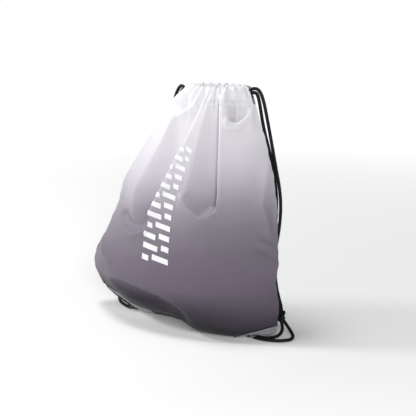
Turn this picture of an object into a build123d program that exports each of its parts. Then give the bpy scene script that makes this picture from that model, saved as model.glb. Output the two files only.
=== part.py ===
"""Drawstring shoe bag, stuffed and standing on its base, mouth drawn closed.

Frame: millimetres, +Z up, +X to the right of the printed front, which faces -Y.
The origin is the centre of the bag's footprint box, on the surface it stands on.
"""

import math
import os

from build123d import *

# ---- driving dimensions -------------------------------------------------
CLOTH = 1.0  # wall of the coated cloth, with its seam turn-in
PATCH = 1.2  # corner reinforcement's thickness ...
PATCH_TALL = 23.0  # ... and its height at the seam
FULLNESS = 2.6  # exponent of the lens-shaped cross-section
SEAM_Y = -5.0  # side seam plane at the base ...
SEAM_LEAN = 0.09  # ... and how far it leans back per mm of height
HEM_Z = 340.0  # top of the panels, foot of the drawstring channel
HEM_TALL = 24.0
HEM_DEEP = 8.4  # channel's thickness, wall to wall
HEM_HALF = 48.0  # half its length
CORD = 4.5  # drawcord diameter
CORD_GAP = 2.5  # half the spacing of two cords side by side
FACET_SLOPE = 0.22  # lift of the bottom corners, mm per mm
EYE_HOLE = 5.6  # eyelet bore radius
EYE_RIM = 9.4
EYE_WALL = 0.8
KNOT = 7.0  # radius of a knot tied in the doubled cord

# Height, left seam x, right seam x, front depth, back depth.
SECTIONS = [
    (0.0, -96.0, 146.0, 20.0, 30.0),
    (5.0, -118.0, 153.0, 36.0, 42.0),
    (14.0, -133.0, 156.0, 48.0, 52.0),
    (32.0, -147.0, 157.0, 60.0, 61.0),
    (60.0, -157.0, 158.5, 67.0, 64.0),
    (88.0, -160.5, 160.0, 70.0, 64.0),
    (131.0, -147.0, 157.5, 69.0, 60.0),
    (186.0, -127.0, 153.0, 63.0, 52.0),
    (241.0, -99.0, 142.0, 52.0, 42.0),
    (291.0, -69.0, 126.0, 39.0, 32.0),
    (320.0, -45.0, 114.0, 30.0, 26.0),
    (HEM_Z, -20.0, 107.0, 23.0, 22.0),
]
HEM_X = (SECTIONS[-1][1] + SECTIONS[-1][2]) / 2
HEM_Y = SEAM_Y + SEAM_LEAN * HEM_Z
RIGHT_EYE = (126.0, -10.0)
LEFT_EYE = (-88.0, 4.0)
RIGHT_FACET_X = 98.0  # where the base starts to lift towards each corner
LEFT_FACET_X = -60.0


def seam_y(z):
    """Where the side seams run, front to back, at a height."""
    return SEAM_Y + SEAM_LEAN * z


# ---- the stuffed body ---------------------------------------------------
def lens_face(section, grow):
    """One lens-shaped cross-section, grown outwards by an offset."""
    z, left, right, front, back = section
    centre, half = (left + right) / 2, (right - left) / 2 + 2 * grow
    steps = [math.sin(math.pi / 2 * k / 6) for k in range(-6, 7)]
    curves = []
    for depth in (-(front + grow), back + grow):
        points = [
            (centre + half * u, seam_y(z) + depth * (1 - abs(u) ** FULLNESS), z)
            for u in steps
        ]
        curves.append(Edge.make_spline([Vector(*p) for p in points]))
    return Face(Wire(curves))


def corner_wedge(side, foot_x, drop):
    """The space under a lifted bottom corner, lowered by an offset."""
    reach = 100.0
    far = foot_x + side * reach
    outline = Polyline(
        (foot_x, -20 - drop),
        (foot_x, -drop),
        (far, FACET_SLOPE * reach - drop),
        (far, -20 - drop),
        close=True,
    )
    return extrude(Plane.XZ * make_face(outline), 120, both=True)


def body_solid(grow, floor=0.0):
    """The bag's filled outer shape, grown or shrunk, with its lifted corners."""
    sections = [(max(s[0], floor), *s[1:]) for s in SECTIONS]
    solid = loft([lens_face(s, grow) for s in sections])
    for side, foot_x in ((1, RIGHT_FACET_X), (-1, LEFT_FACET_X)):
        solid -= corner_wedge(side, foot_x, grow)
    return solid


def seam_half(front):
    """A slab that holds everything in front of, or behind, the seam plane."""
    lean = math.degrees(math.atan(SEAM_LEAN))
    slab = Box(600, 400, 1200, align=(Align.CENTER, Align.MAX if front else Align.MIN, Align.CENTER))
    return Pos(0, SEAM_Y, 0) * Rot(-lean, 0, 0) * slab


OUTER = body_solid(0)
INNER = body_solid(-CLOTH, CLOTH)
FRONT_HALF, BACK_HALF = seam_half(True), seam_half(False)


# ---- eyelets ------------------------------------------------------------
def eye_place(side, eye, foot_x):
    """The eyelet's frame on the lifted corner: z is its axis, up into the bag."""
    x, y = eye
    z = FACET_SLOPE * abs(x - foot_x)
    tilt = math.degrees(math.atan(FACET_SLOPE))
    return Location((x, y, z), (0, -side * tilt, 0))


def ring(outer, inner, low, high):
    body = Cylinder(outer, high - low, align=(Align.CENTER, Align.CENTER, Align.MIN))
    bore = Cylinder(inner, high - low, align=(Align.CENTER, Align.CENTER, Align.MIN))
    return Pos(0, 0, low) * (body - bore)


EYES = {
    "right": eye_place(1, RIGHT_EYE, RIGHT_FACET_X),
    "left": eye_place(-1, LEFT_EYE, LEFT_FACET_X),
}
BARREL = EYE_HOLE + EYE_WALL
EYE_CUTS = [place * Cylinder(BARREL + 0.1, 24) for place in EYES.values()]


def eyelets():
    """Each eyelet's flanged barrel outside, and the washer it is set over inside."""
    made = {}
    low, high = -PATCH - 0.05, CLOTH + 0.25
    for side, place in EYES.items():
        flange = ring(EYE_RIM, EYE_HOLE, low - EYE_WALL, low)
        barrel = ring(BARREL, EYE_HOLE, low, high + EYE_WALL)
        made[f"{side}_eyelet"] = place * (flange + barrel)
        made[f"{side}_eyelet_washer"] = place * ring(EYE_RIM, BARREL + 0.05, high, high + EYE_WALL)
    return made


# ---- panels, patches, print --------------------------------------------
def panels():
    shell = OUTER - INNER
    for cut in EYE_CUTS:
        shell -= cut
    return {"front_panel": shell & FRONT_HALF, "back_panel": shell & BACK_HALF}


def corner_patches():
    """Reinforcements that wrap the bottom corners, front and back of the seam."""
    made = {}
    skin = body_solid(PATCH) - OUTER
    for cut in EYE_CUTS:
        skin -= cut
    for side, sign, foot in (("right", 1, RIGHT_FACET_X), ("left", -1, LEFT_FACET_X)):
        inner_x, edge_x, tip = foot + sign * 9, foot - sign * 6, sign * 175
        shape = Polyline(
            (inner_x, -4),
            (inner_x, 3),
            (edge_x, 3),
            (foot + sign * 50, PATCH_TALL - 3),
            (foot + sign * 58, PATCH_TALL),
            (tip, PATCH_TALL),
            (tip, -4),
            close=True,
        )
        zone = extrude(Plane.XZ * make_face(shape), 100, both=True)
        wrap = skin & zone
        made[f"{side}_front_corner_patch"] = wrap & FRONT_HALF
        made[f"{side}_back_corner_patch"] = wrap & BACK_HALF
    return made


def front_print():
    """Slanted bars of heat-transfer film in a column down the front."""
    film = body_solid(0.35) - body_solid(0.1)
    bars = []
    for k in range(6):
        z, x = 241 - 25 * k, -8 - 12 * k
        long = 34 + 2.5 * k
        bar = Pos(x, -60, z) * Rot(0, 24, 0) * Box(long, 120, 9)
        bars.append(film & bar & FRONT_HALF)
    return Compound([s for b in bars for s in b.solids()])


# ---- inside bindings ----------------------------------------------------
def side_binding(column, inward):
    """A bound seam allowance, standing inwards from a side seam."""
    faces = []
    for section in SECTIONS[3:]:
        z, edge = section[0], section[column]
        near, far = edge + inward * 4.0, edge + inward * 11.0
        centre = Location(((near + far) / 2, seam_y(z), z))
        faces.append(centre * Rectangle(abs(far - near), 1.6).face())
    return loft(faces)


def bottom_binding():
    low, tall = CLOTH + 0.1, 7.0
    length = RIGHT_FACET_X - LEFT_FACET_X - 60
    centre = (RIGHT_FACET_X + LEFT_FACET_X) / 2
    y = seam_y(low + tall / 2)
    return Pos(centre, y, low) * Box(length, 1.6, tall, align=(Align.CENTER, Align.CENTER, Align.MIN))


# ---- drawstring channel -------------------------------------------------
HEM_SAG = 12.0  # bow of each channel over its length
HEM_RADIUS = (HEM_HALF**2 + HEM_SAG**2) / (2 * HEM_SAG)
HEM_OUT = 23.0  # outside of the channel's middle, from the seam plane


def sector(sign, outer, inner, half, low, high):
    """A bowed slab: between two radii, over part of the length."""
    centre_y = HEM_Y + sign * (HEM_OUT - HEM_RADIUS)
    disc = Circle(HEM_RADIUS - outer) - Circle(HEM_RADIUS - inner)
    slab = extrude(Pos(HEM_X, centre_y, low) * disc, high - low)
    keep = Pos(HEM_X, HEM_Y + sign * HEM_OUT, low) * Box(2 * half, 60, 3 * HEM_TALL)
    return slab & keep


def hem_channels():
    made = {}
    for name, sign in (("front_drawstring_channel", -1), ("back_drawstring_channel", 1)):
        tunnel = sector(sign, 0, HEM_DEEP, HEM_HALF, HEM_Z, HEM_Z + HEM_TALL)
        bore = sector(sign, CLOTH, HEM_DEEP - CLOTH, HEM_HALF + 5, HEM_Z + CLOTH, HEM_Z + HEM_TALL - CLOTH)
        made[name] = tunnel - bore
    return made


def hem_stitching():
    """Lockstitch along the channel's foot, one small bar for each stitch."""
    made = {}
    pitch, long, rise = 4.0, 2.8, 3.0
    count = int(2 * (HEM_HALF - 4) / pitch)
    for name, sign in (("front_hem_stitching", -1), ("back_hem_stitching", 1)):
        stitches = []
        for k in range(count):
            x = -HEM_HALF + 5 + pitch * k
            turn = math.degrees(math.asin(x / HEM_RADIUS))
            out = HEM_OUT - HEM_RADIUS + math.sqrt(HEM_RADIUS**2 - x**2) + 0.36
            place = Pos(HEM_X + x, HEM_Y + sign * out, HEM_Z + rise) * Rot(0, 0, -sign * turn)
            stitches.append(place * Box(long, 0.6, 0.6))
        made[name] = Compound(stitches)
    return made


# ---- cords --------------------------------------------------------------
def cord_tube(name, points):
    """A round cord along straight runs joined by the largest arcs that fit."""
    spots = [Vector(*p) for p in points]
    turns, radii = [], []
    for before, at, after in zip(spots, spots[1:], spots[2:]):
        run = min((at - before).length, (after - at).length)
        turns.append((at - before).get_angle(after - at))
        radii.append(0.45 * run / math.tan(math.radians(turns[-1]) / 2))
    path = FilletPolyline(*points, radius=radii)
    start = Plane(origin=path @ 0, z_dir=path % 0)
    tube = sweep(start * Circle(CORD / 2), path)
    share = tube.volume / (math.pi * (CORD / 2) ** 2 * path.length)
    print(
        f"{name}: {path.length:.1f} mm, tightest {min(radii):.1f} mm, "
        f"sharpest turn {max(turns):.0f} deg, volume share {share:.4f}"
    )
    return tube


CORD_LEVEL = {"right": HEM_Z + 17.5, "left": HEM_Z + 9.8}
EXIT_OUT = 58.0  # strand exits, from the middle of the hem
PIVOT_CLEAR = 3.4


def held_loop(side, sign):
    """The stretch of cord inside both channels, from exit stub to exit stub."""
    level = CORD_LEVEL[side]
    mid = HEM_OUT - HEM_DEEP / 2
    radius = HEM_RADIUS - HEM_DEEP / 2
    spots = []
    for k in range(4, -5, -1):
        x = HEM_HALF / 4 * k
        spots.append((x, mid - radius + math.sqrt(radius**2 - x**2)))
    front = [(sign * x, -y, level) for x, y in spots]
    back = [(sign * x, y, level) for x, y in reversed(spots)]
    turn_x = -HEM_HALF - 6.5
    turn = [(sign * turn_x, -4.9, level), (sign * turn_x, 4.9, level)]
    out = sign * (EXIT_OUT - PIVOT_CLEAR)
    start, end = (out, 0.0, level + CORD_GAP), (out, 0.0, level - CORD_GAP)
    route = [start, *front, *turn, *back, end]
    return [(HEM_X + x, HEM_Y + y, z) for x, y, z in route]


# Free strands: from their exit, round the bag and into the tie knot.
STRANDS = {
    "right_strap_outer_strand": [
        (101.5, 25.6, 360.0), (113.5, 26.8, 360.8), (122.5, 29.5, 351.0), (125.5, 31.5, 336.0),
        (128.0, 33.5, 316.0), (131.5, 36.5, 288.0), (136.5, 41.0, 248.0), (145.0, 46.0, 200.0),
        (144.5, 49.0, 153.0), (140.5, 50.0, 110.0), (147.0, 42.5, 72.0), (153.5, 32.5, 51.5),
        (158.2, 25.2, 39.4),
    ],
    "right_strap_inner_strand": [
        (101.5, 25.6, 355.0), (108.0, 25.9, 355.2), (113.5, 26.6, 350.0), (116.5, 27.6, 341.0),
        (118.5, 29.0, 328.0), (121.0, 31.5, 310.0), (125.0, 36.5, 281.0), (129.5, 43.5, 243.0),
        (138.5, 50.5, 197.0), (137.5, 54.0, 150.0), (133.5, 54.0, 106.0), (139.5, 44.0, 68.0),
        (149.5, 27.5, 48.5), (155.3, 20.4, 39.6),
    ],
    "left_strap_outer_strand": [
        (-14.5, 25.6, 352.3), (-24.0, 27.5, 352.5), (-32.5, 33.0, 345.0), (-38.0, 39.5, 331.0),
        (-44.0, 46.5, 308.0), (-53.0, 54.0, 275.0), (-67.0, 62.0, 234.0), (-84.0, 66.0, 190.0),
        (-101.0, 66.5, 147.0), (-117.0, 62.5, 108.0), (-129.0, 57.0, 76.0), (-135.5, 49.0, 53.5),
        (-135.8, 42.6, 38.8),
    ],
    "left_strap_inner_strand": [
        (-14.5, 25.6, 347.3), (-21.0, 26.5, 347.6), (-27.0, 30.0, 343.5), (-31.0, 35.5, 335.0),
        (-35.0, 43.0, 319.0), (-41.0, 50.5, 295.0), (-49.0, 56.0, 266.0), (-61.0, 60.5, 228.0),
        (-77.0, 62.0, 186.0), (-94.0, 62.5, 145.0), (-110.0, 58.5, 106.0), (-123.0, 52.0, 74.0),
        (-130.5, 43.5, 52.0), (-132.2, 38.0, 39.8),
    ],
}
TIE = {"right": (158.0, 21.0, 31.0), "left": (-134.0, 38.0, 31.0)}

FLOOR = CORD / 2 + 0.15  # height of a cord's middle where it lies on the floor
# From below the tie knot, round the corner, under it and up into the eyelet.
LEGS = {
    "right_corner_inner_leg": [
        (158.3, 18.9, 22.6), (160.5, 16.5, 16.0), (161.5, 11.0, 9.0), (158.5, 3.5, 4.2),
        (151.5, -3.0, FLOOR), (142.5, -6.5, FLOOR), (136.0, -7.4, FLOOR), (130.2, -7.6, FLOOR),
        (126.6, -7.6, 6.2), (126.0, -7.6, 11.0),
    ],
    "right_corner_outer_leg": [
        (160.6, 23.2, 23.4), (165.5, 24.5, 17.5), (172.5, 23.5, 9.5), (180.0, 18.5, 3.8),
        (181.5, 8.5, FLOOR), (174.5, -1.5, FLOOR), (163.0, -8.5, FLOOR), (150.5, -12.0, FLOOR),
        (139.5, -12.9, FLOOR), (130.2, -12.4, FLOOR), (126.6, -12.4, 6.2), (126.0, -12.4, 11.0),
    ],
    "left_corner_inner_leg": [
        (-133.0, 37.4, 22.5), (-131.0, 36.0, 15.5), (-127.0, 33.5, 8.5), (-120.5, 29.5, 4.0),
        (-112.0, 24.0, FLOOR), (-104.0, 16.5, FLOOR), (-98.0, 9.6, FLOOR), (-92.4, 6.5, FLOOR),
        (-88.6, 6.4, 6.2), (-88.0, 6.4, 11.0),
    ],
    "left_corner_outer_leg": [
        (-137.6, 38.6, 23.6), (-139.0, 37.0, 17.0), (-138.5, 33.0, 10.0), (-135.0, 27.0, 4.6),
        (-128.5, 19.5, FLOOR), (-119.5, 12.0, FLOOR), (-109.0, 6.0, FLOOR), (-100.0, 2.6, FLOOR),
        (-92.4, 1.7, FLOOR), (-88.6, 1.6, 6.2), (-88.0, 1.6, 11.0),
    ],
}


def knots():
    """Knots tied in the doubled cord: above each corner, and inside each eyelet."""
    made = {}
    for side, spot in TIE.items():
        made[f"{side}_tie_knot"] = Pos(*spot) * Sphere(KNOT)
    for side, place in EYES.items():
        blob = place * Pos(0, 0, 2 * KNOT - 0.5) * Sphere(KNOT + 1)
        made[f"{side}_stopper_knot"] = blob
    return made


def cords():
    made = {}
    for side, sign in (("right", 1), ("left", -1)):
        name = f"{side}_cord_in_channel"
        made[name] = cord_tube(name, held_loop(side, sign))
    for name, route in {**STRANDS, **LEGS}.items():
        made[name] = cord_tube(name, route)
    return made


def main():
    os.makedirs("parts", exist_ok=True)
    nodes = {}
    nodes.update(panels())
    nodes.update(hem_channels())
    nodes.update(hem_stitching())
    nodes.update(corner_patches())
    nodes.update(eyelets())
    nodes["front_print"] = front_print()
    nodes["right_side_seam_binding"] = side_binding(2, -1)
    nodes["left_side_seam_binding"] = side_binding(1, 1)
    nodes["bottom_seam_binding"] = bottom_binding()
    nodes.update(knots())
    nodes.update(cords())
    for name, shape in nodes.items():
        export_step(shape, f"parts/{name}.step")
    print(len(nodes), "nodes")


if __name__ == "__main__":
    main()
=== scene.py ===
# %% [markdown]
# # A drawstring shoe bag
# The bag is two panels of coated cloth, sewn at the sides and the bottom and gathered on two
# cords at the top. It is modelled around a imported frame: the frame says where each piece is and
# what moves, and this file gives the cloth, cords and trim their real shapes and finishes.

# %% Load the frame
import math

import bmesh
import bpy
import numpy as np
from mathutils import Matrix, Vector


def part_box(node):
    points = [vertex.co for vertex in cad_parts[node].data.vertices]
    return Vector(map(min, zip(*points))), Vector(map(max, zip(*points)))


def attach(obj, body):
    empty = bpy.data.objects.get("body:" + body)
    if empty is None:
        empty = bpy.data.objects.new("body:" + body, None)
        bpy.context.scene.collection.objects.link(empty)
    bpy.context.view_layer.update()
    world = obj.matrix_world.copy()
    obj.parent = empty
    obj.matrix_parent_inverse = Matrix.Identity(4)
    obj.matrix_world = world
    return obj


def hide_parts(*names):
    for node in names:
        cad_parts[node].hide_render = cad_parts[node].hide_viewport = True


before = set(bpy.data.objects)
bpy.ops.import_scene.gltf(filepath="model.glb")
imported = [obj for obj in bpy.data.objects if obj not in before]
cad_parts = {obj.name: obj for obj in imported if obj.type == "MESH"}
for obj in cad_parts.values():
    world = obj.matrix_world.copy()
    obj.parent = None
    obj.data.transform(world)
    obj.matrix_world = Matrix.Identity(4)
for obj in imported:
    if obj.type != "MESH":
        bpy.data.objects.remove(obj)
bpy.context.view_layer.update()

MM = 0.001  # shapes are worked out in millimetres, and meshes are in metres

# %% [markdown]
# ## Camera, light and floor
# The bag is seen from its front right, a little above it. A small bright lamp high on the left
# rakes across the cloth and draws the folds, one overhead lights the gathers, and a wider one in
# front on the right fills the shade that they leave. One broad lamp would be simpler, but it
# flattens cloth. The view transform is Standard, because the default greys a white material.

# %% Camera
AIM = Vector((0, 0, 172)) * MM
AZIMUTH, ELEVATION, DISTANCE = math.radians(30), math.radians(14), 1.25
away = Vector((
    math.sin(AZIMUTH) * math.cos(ELEVATION),
    -math.cos(AZIMUTH) * math.cos(ELEVATION),
    math.sin(ELEVATION),
))
camera = bpy.data.objects.new("camera", bpy.data.cameras.new("camera"))
bpy.context.collection.objects.link(camera)
camera.location = AIM + away * DISTANCE
camera.rotation_euler = (-away).to_track_quat("-Z", "Y").to_euler()
camera.data.lens = 71.6
camera.data.shift_x, camera.data.shift_y = 0.064, 0.012
bpy.context.scene.camera = camera
print("camera", tuple(round(v, 3) for v in camera.location))


# %% Lamps and surround
def lamp(name, place, size, power):
    data = bpy.data.lights.new(name, "AREA")
    data.shape, data.size, data.energy = "DISK", size, power
    made = bpy.data.objects.new(name, data)
    bpy.context.collection.objects.link(made)
    made.location = place
    made.rotation_euler = (AIM - Vector(place)).to_track_quat("-Z", "Y").to_euler()
    print(name, power, "W")


lamp("key_lamp", (-1.3, -0.62, 1.0), 0.3, 12.0)
lamp("top_lamp", (-0.25, -0.1, 1.5), 0.45, 9.0)
lamp("right_lamp", (1.0, -1.4, 1.0), 0.6, 11.0)
bpy.context.scene.view_settings.view_transform = "Standard"

# %% [markdown]
# ## Shader arithmetic
# A finish could be wired by hand, one node and link at a time, but it is easier to read as a sum.
# `Wire` is one output of a node, and arithmetic on it adds Math nodes. `add` makes any other node
# from its type, its settings and the values or wires of its sockets.


# %% Wires between shader nodes
class Wire:
    def __init__(self, tree, socket):
        self.tree, self.socket = tree, socket

    def math(self, operation, *values):
        return add(self.tree, "ShaderNodeMath", {"operation": operation}, values)

    def sine(self):
        return self.math("SINE", self)

    def __add__(self, other):
        return self.math("ADD", self, other)

    def __sub__(self, other):
        return self.math("SUBTRACT", self, other)

    def __rsub__(self, other):
        return self.math("SUBTRACT", other, self)

    def __mul__(self, other):
        return self.math("MULTIPLY", self, other)

    __radd__, __rmul__ = __add__, __mul__


def add(tree, kind, settings, sockets, output=0):
    """A node with its settings made and its sockets filled, as the wire of one output."""
    node = tree.nodes.new(kind)
    for name, value in settings.items():
        if name == "stops":
            elements = node.color_ramp.elements
            while len(elements) < len(value):
                elements.new(0.5)
            for element, (position, tone) in zip(elements, value):
                element.position, element.color = position, (*tone, 1)
        else:
            setattr(node, name, value)
    pairs = sockets.items() if isinstance(sockets, dict) else enumerate(sockets)
    for key, value in pairs:
        if isinstance(value, Wire):
            tree.links.new(value.socket, node.inputs[key])
        else:
            node.inputs[key].default_value = value
    return Wire(tree, node.outputs[output])


print("operators: + - * and sine")


# %% Helpers for a finish
def new_finish(name, **fixed):
    """A material, its tree and its shader, with the sockets that are the same all over."""
    material = bpy.data.materials.new(name)
    material.use_nodes = True
    shader = material.node_tree.nodes["Principled BSDF"]
    for socket, value in fixed.items():
        shader.inputs[socket.replace("_", " ")].default_value = value
    return material, material.node_tree, shader


def feed(tree, shader, **wires):
    """Links what varies over the surface to the shader's sockets of those names."""
    for socket, wire in wires.items():
        tree.links.new(wire.socket, shader.inputs[socket.replace("_", " ")])


def bump(tree, height, strength, distance):
    sockets = {"Strength": strength, "Distance": distance, "Height": height}
    return add(tree, "ShaderNodeBump", {}, sockets)


def where(tree):
    """The place on the piece in metres, so that a pattern keeps its real size."""
    return add(tree, "ShaderNodeTexCoord", {}, {}, "Object")


def noise_field(tree, place, scale, detail=3.0):
    sockets = {"Vector": place, "Scale": scale, "Detail": detail}
    return add(tree, "ShaderNodeTexNoise", {}, sockets)


def ramp(tree, stops, value):
    return add(tree, "ShaderNodeValToRGB", {"stops": stops}, [value])


print("finish helpers: new_finish, feed, bump, where, noise_field, ramp")


# %% [markdown]
# The surround is a pale studio: a bright band low down, as white walls give, under a dimmer
# ceiling. A sky of one even colour would be simpler, but it lights every fold from all round and
# hides it. The dim ceiling leaves the shading to the lamps.

# %% Surround
world = bpy.data.worlds.new("surround")
bpy.context.scene.world = world
world.use_nodes = True
sky = world.node_tree
facing = add(sky, "ShaderNodeTexCoord", {}, {}, "Generated")
upward = add(sky, "ShaderNodeSeparateXYZ", {}, {"Vector": facing}, "Z")
WALLS = [
    (0.00, (1, 1, 1)),
    (0.09, (1, 1, 1)),
    (0.20, (0.12, 0.12, 0.13)),
    (1.00, (0.10, 0.10, 0.11)),
]
feed(sky, sky.nodes["Background"], Color=ramp(sky, WALLS, upward))
print("surround with", len(WALLS), "stops")

# %% [markdown]
# ## The coated cloth
# The panels are a light woven polyester with a coated face, printed white at the mouth and
# fading to charcoal lower down; the near-black at the very base is painted shade, for the shade
# under the bag's rounded bottom. The fade could be a gradient over height, but it is printed
# before the bag is sewn, so it follows the cloth: each vertex carries how far up the print it is,
# with the painted shade at the base added, and a ramp turns that into a colour. The weave is two
# fine sine ribs that cross, laid in flat-cloth metres so that it bends with folds.

# %% Cloth finish
# Stops from the base up. Those up to 0.115 are near black: partly the print's charcoal and partly
# painted shade, for the shade under the bag's rounded bottom.
FADE = [
    (0.000, (0.004, 0.003, 0.005)),
    (0.050, (0.009, 0.007, 0.011)),
    (0.115, (0.048, 0.038, 0.056)),
    (0.210, (0.136, 0.115, 0.151)),
    (0.370, (0.168, 0.146, 0.184)),
    (0.460, (0.217, 0.194, 0.233)),
    (0.540, (0.297, 0.272, 0.315)),
    (0.620, (0.455, 0.426, 0.476)),
    (0.700, (0.600, 0.572, 0.622)),
    (0.790, (0.695, 0.674, 0.713)),
    (0.880, (0.750, 0.735, 0.763)),
    (1.000, (0.800, 0.790, 0.810)),
]


YARN = 0.0012  # metres from one rib of the weave to the next


def cloth_finish():
    material, tree, shader = new_finish(
        "coated_cloth", Sheen_Weight=0.05, Sheen_Roughness=0.4, Specular_IOR_Level=0.3
    )
    fade = add(tree, "ShaderNodeAttribute", {"attribute_name": "fade"}, {}, "Fac")
    flat = add(tree, "ShaderNodeUVMap", {"uv_map": "flat"}, {})
    place = where(tree)
    mottle = noise_field(tree, place, 28.0, 4.0)
    ribs = []
    for axis in "XY":
        reach = add(tree, "ShaderNodeSeparateXYZ", {}, {"Vector": flat}, axis)
        ribs.append((reach * (2 * math.pi / YARN)).sine())
    crumple = noise_field(tree, place, 60.0, 5.0)
    grain = ribs[0] * ribs[1] * 0.35 + crumple * 1.2
    feed(
        tree,
        shader,
        Base_Color=ramp(tree, FADE, fade + (mottle - 0.5) * 0.03),
        Roughness=0.42 + mottle * 0.16,
        Normal=bump(tree, grain, 0.22, 0.0006),
    )
    return material


cloth = cloth_finish()
print("cloth finish has", len(cloth.node_tree.nodes), "nodes")

# %% [markdown]
# ## Trim finishes
# The corners are imitation leather, the cord is braided polyester, the eyelets are plated steel
# and the print is a thin white film. Each could be one flat colour, but a surface that reflects
# the same everywhere looks like plastic, so each has its own small unevenness: pores in the
# leather, fibre on the cord, scuffs on the plate, thin spots in the film, twist in the yarn.


# %% Leather and cord
def leather_finish():
    material, tree, shader = new_finish("corner_leather", Sheen_Weight=0.05)
    place = where(tree)
    pores = add(tree, "ShaderNodeTexVoronoi", {}, {"Vector": place, "Scale": 900.0}, "Distance")
    wear = noise_field(tree, place, 90.0)
    stops = [(0.3, (0.190, 0.182, 0.196)), (0.75, (0.290, 0.280, 0.297))]
    feed(
        tree,
        shader,
        Base_Color=ramp(tree, stops, wear),
        Roughness=0.26 + wear * 0.2,
        Normal=bump(tree, pores, 0.25, 0.0004),
    )
    return material


def cord_finish():
    material, tree, shader = new_finish("braided_cord", Specular_IOR_Level=0.25)
    fibre = noise_field(tree, where(tree), 1400.0, 2.0)
    stops = [(0.2, (0.0025, 0.0025, 0.003)), (0.8, (0.008, 0.0075, 0.009))]
    feed(
        tree,
        shader,
        Base_Color=ramp(tree, stops, fibre),
        Roughness=0.5 + fibre * 0.25,
        Normal=bump(tree, fibre, 0.3, 0.0003),
    )
    return material


leather, braid = leather_finish(), cord_finish()
print("made", leather.name, "and", braid.name)


# %% Plate and film
def metal_finish():
    material, tree, shader = new_finish("eyelet_plate", Metallic=1.0)
    scuff = noise_field(tree, where(tree), 420.0, 4.0)
    stops = [(0.3, (0.16, 0.16, 0.17)), (0.7, (0.27, 0.27, 0.28))]
    feed(tree, shader, Base_Color=ramp(tree, stops, scuff), Roughness=0.22 + scuff * 0.2)
    return material


def film_finish():
    material, tree, shader = new_finish("print_film", Specular_IOR_Level=0.35)
    patchy = noise_field(tree, where(tree), 160.0, 4.0)
    stops = [(0.25, (0.83, 0.83, 0.84)), (0.75, (0.90, 0.90, 0.91))]
    feed(
        tree,
        shader,
        Base_Color=ramp(tree, stops, patchy),
        Roughness=0.36 + patchy * 0.2,
        Normal=bump(tree, patchy, 0.12, 0.0004),
    )
    return material


plate, film = metal_finish(), film_finish()
print("made", plate.name, "and", film.name)


# %% Thread and tape
def tape_finish(name, dark, pale):
    """Thread and binding tape: fine twisted yarn of one colour."""
    material, tree, shader = new_finish(name, Sheen_Weight=0.15)
    twist = {"Vector": where(tree), "Scale": 500.0, "Distortion": 0.6}
    yarn = add(tree, "ShaderNodeTexWave", {"bands_direction": "DIAGONAL"}, twist, "Fac")
    feed(
        tree,
        shader,
        Base_Color=ramp(tree, [(0.0, dark), (1.0, pale)], yarn),
        Roughness=0.7 + yarn * 0.15,
        Normal=bump(tree, yarn, 0.3, 0.0003),
    )
    return material


thread = tape_finish("thread", (0.55, 0.54, 0.57), (0.78, 0.77, 0.80))
tape = tape_finish("binding_tape", (0.02, 0.02, 0.025), (0.06, 0.06, 0.07))
print("made", thread.name, "and", tape.name)

# %% [markdown]
# ## The filled body
# Filled with soft things, the bag is a stack of lens-shaped sections: two curved panels that meet
# at the side seams. It could be sculpted, or lofted through a few curves. Here four short tables
# give the measures and every height between is blended, because then any point of the cloth can
# be asked for by name: which side, how far across, how high. Folds, patches, stitches and print
# all use that. Working in arrays keeps it quick, with a vertex every two millimetres.

# %% Sections of the body
# Each row is a height and a measure, in millimetres: where the side seams run, and how far the
# front and the back stand out from the seams.
LEFT_SEAM = [
    (0, -94), (5, -115), (15, -131), (40, -152), (58, -162), (72, -166), (92, -162),
    (130, -141), (172, -122), (214, -112), (252, -87), (312, -50), (340, -30), (364, -1),
]
RIGHT_SEAM = [
    (0, 150), (5, 160), (14, 163), (50, 164), (90, 156), (118, 159),
    (146, 155), (186, 153), (241, 142), (291, 126), (320, 115), (364, 97),
]
FRONT_DEPTH = [
    (0, 20), (5, 36), (14, 48), (32, 60), (60, 67), (88, 70), (131, 69), (186, 63), (241, 52),
    (291, 39), (320, 30), (340, 24), (364, 21),
]
BACK_DEPTH = [
    (0, 30), (5, 42), (14, 52), (32, 61), (60, 64), (88, 64), (131, 60), (186, 52), (241, 42),
    (291, 32), (320, 26), (340, 22), (364, 20),
]
HEM_FOOT, HEM_TOP = 340.0, 364.0
FULLNESS = 2.6  # exponent of the lens: 2 is a parabola, and more is boxier
SEAM_Y, SEAM_LEAN = -5.0, 0.09  # the seam plane at the base, and its lean per height
HEIGHTS = np.arange(0.0, HEM_TOP + 1)


def blended(rows, blur=4):
    """A measure at every millimetre of height, with its corners rounded."""
    values = np.interp(HEIGHTS, *np.array(rows, float).T)
    steps = np.arange(-3 * blur, 3 * blur + 1)
    weights = np.exp(-0.5 * (steps / blur) ** 2)
    padded = np.concatenate([
        2 * values[0] - values[3 * blur:0:-1],
        values,
        2 * values[-1] - values[-2:-3 * blur - 2:-1],
    ])
    rounded = np.convolve(padded, weights / weights.sum(), "valid")
    keep = np.clip(HEIGHTS / 18.0, 0, 1)
    return values * (1 - keep) + rounded * keep


LEFT, RIGHT, FRONT, BACK = map(blended, (LEFT_SEAM, RIGHT_SEAM, FRONT_DEPTH, BACK_DEPTH))
print("widest section", round(float((RIGHT - LEFT).max()), 1), "mm")


# %% Any point of the filled body
def smooth(start, end, value):
    """0 before start, 1 after end, eased between; start may be above end."""
    share = np.clip((value - start) / (end - start), 0, 1)
    return share * share * (3 - 2 * share)


def middle_and_half(height):
    """Where the middle between the seams is at a height, and half the distance between them."""
    left, right = np.interp(height, HEIGHTS, LEFT), np.interp(height, HEIGHTS, RIGHT)
    return (left + right) / 2, (right - left) / 2


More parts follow.
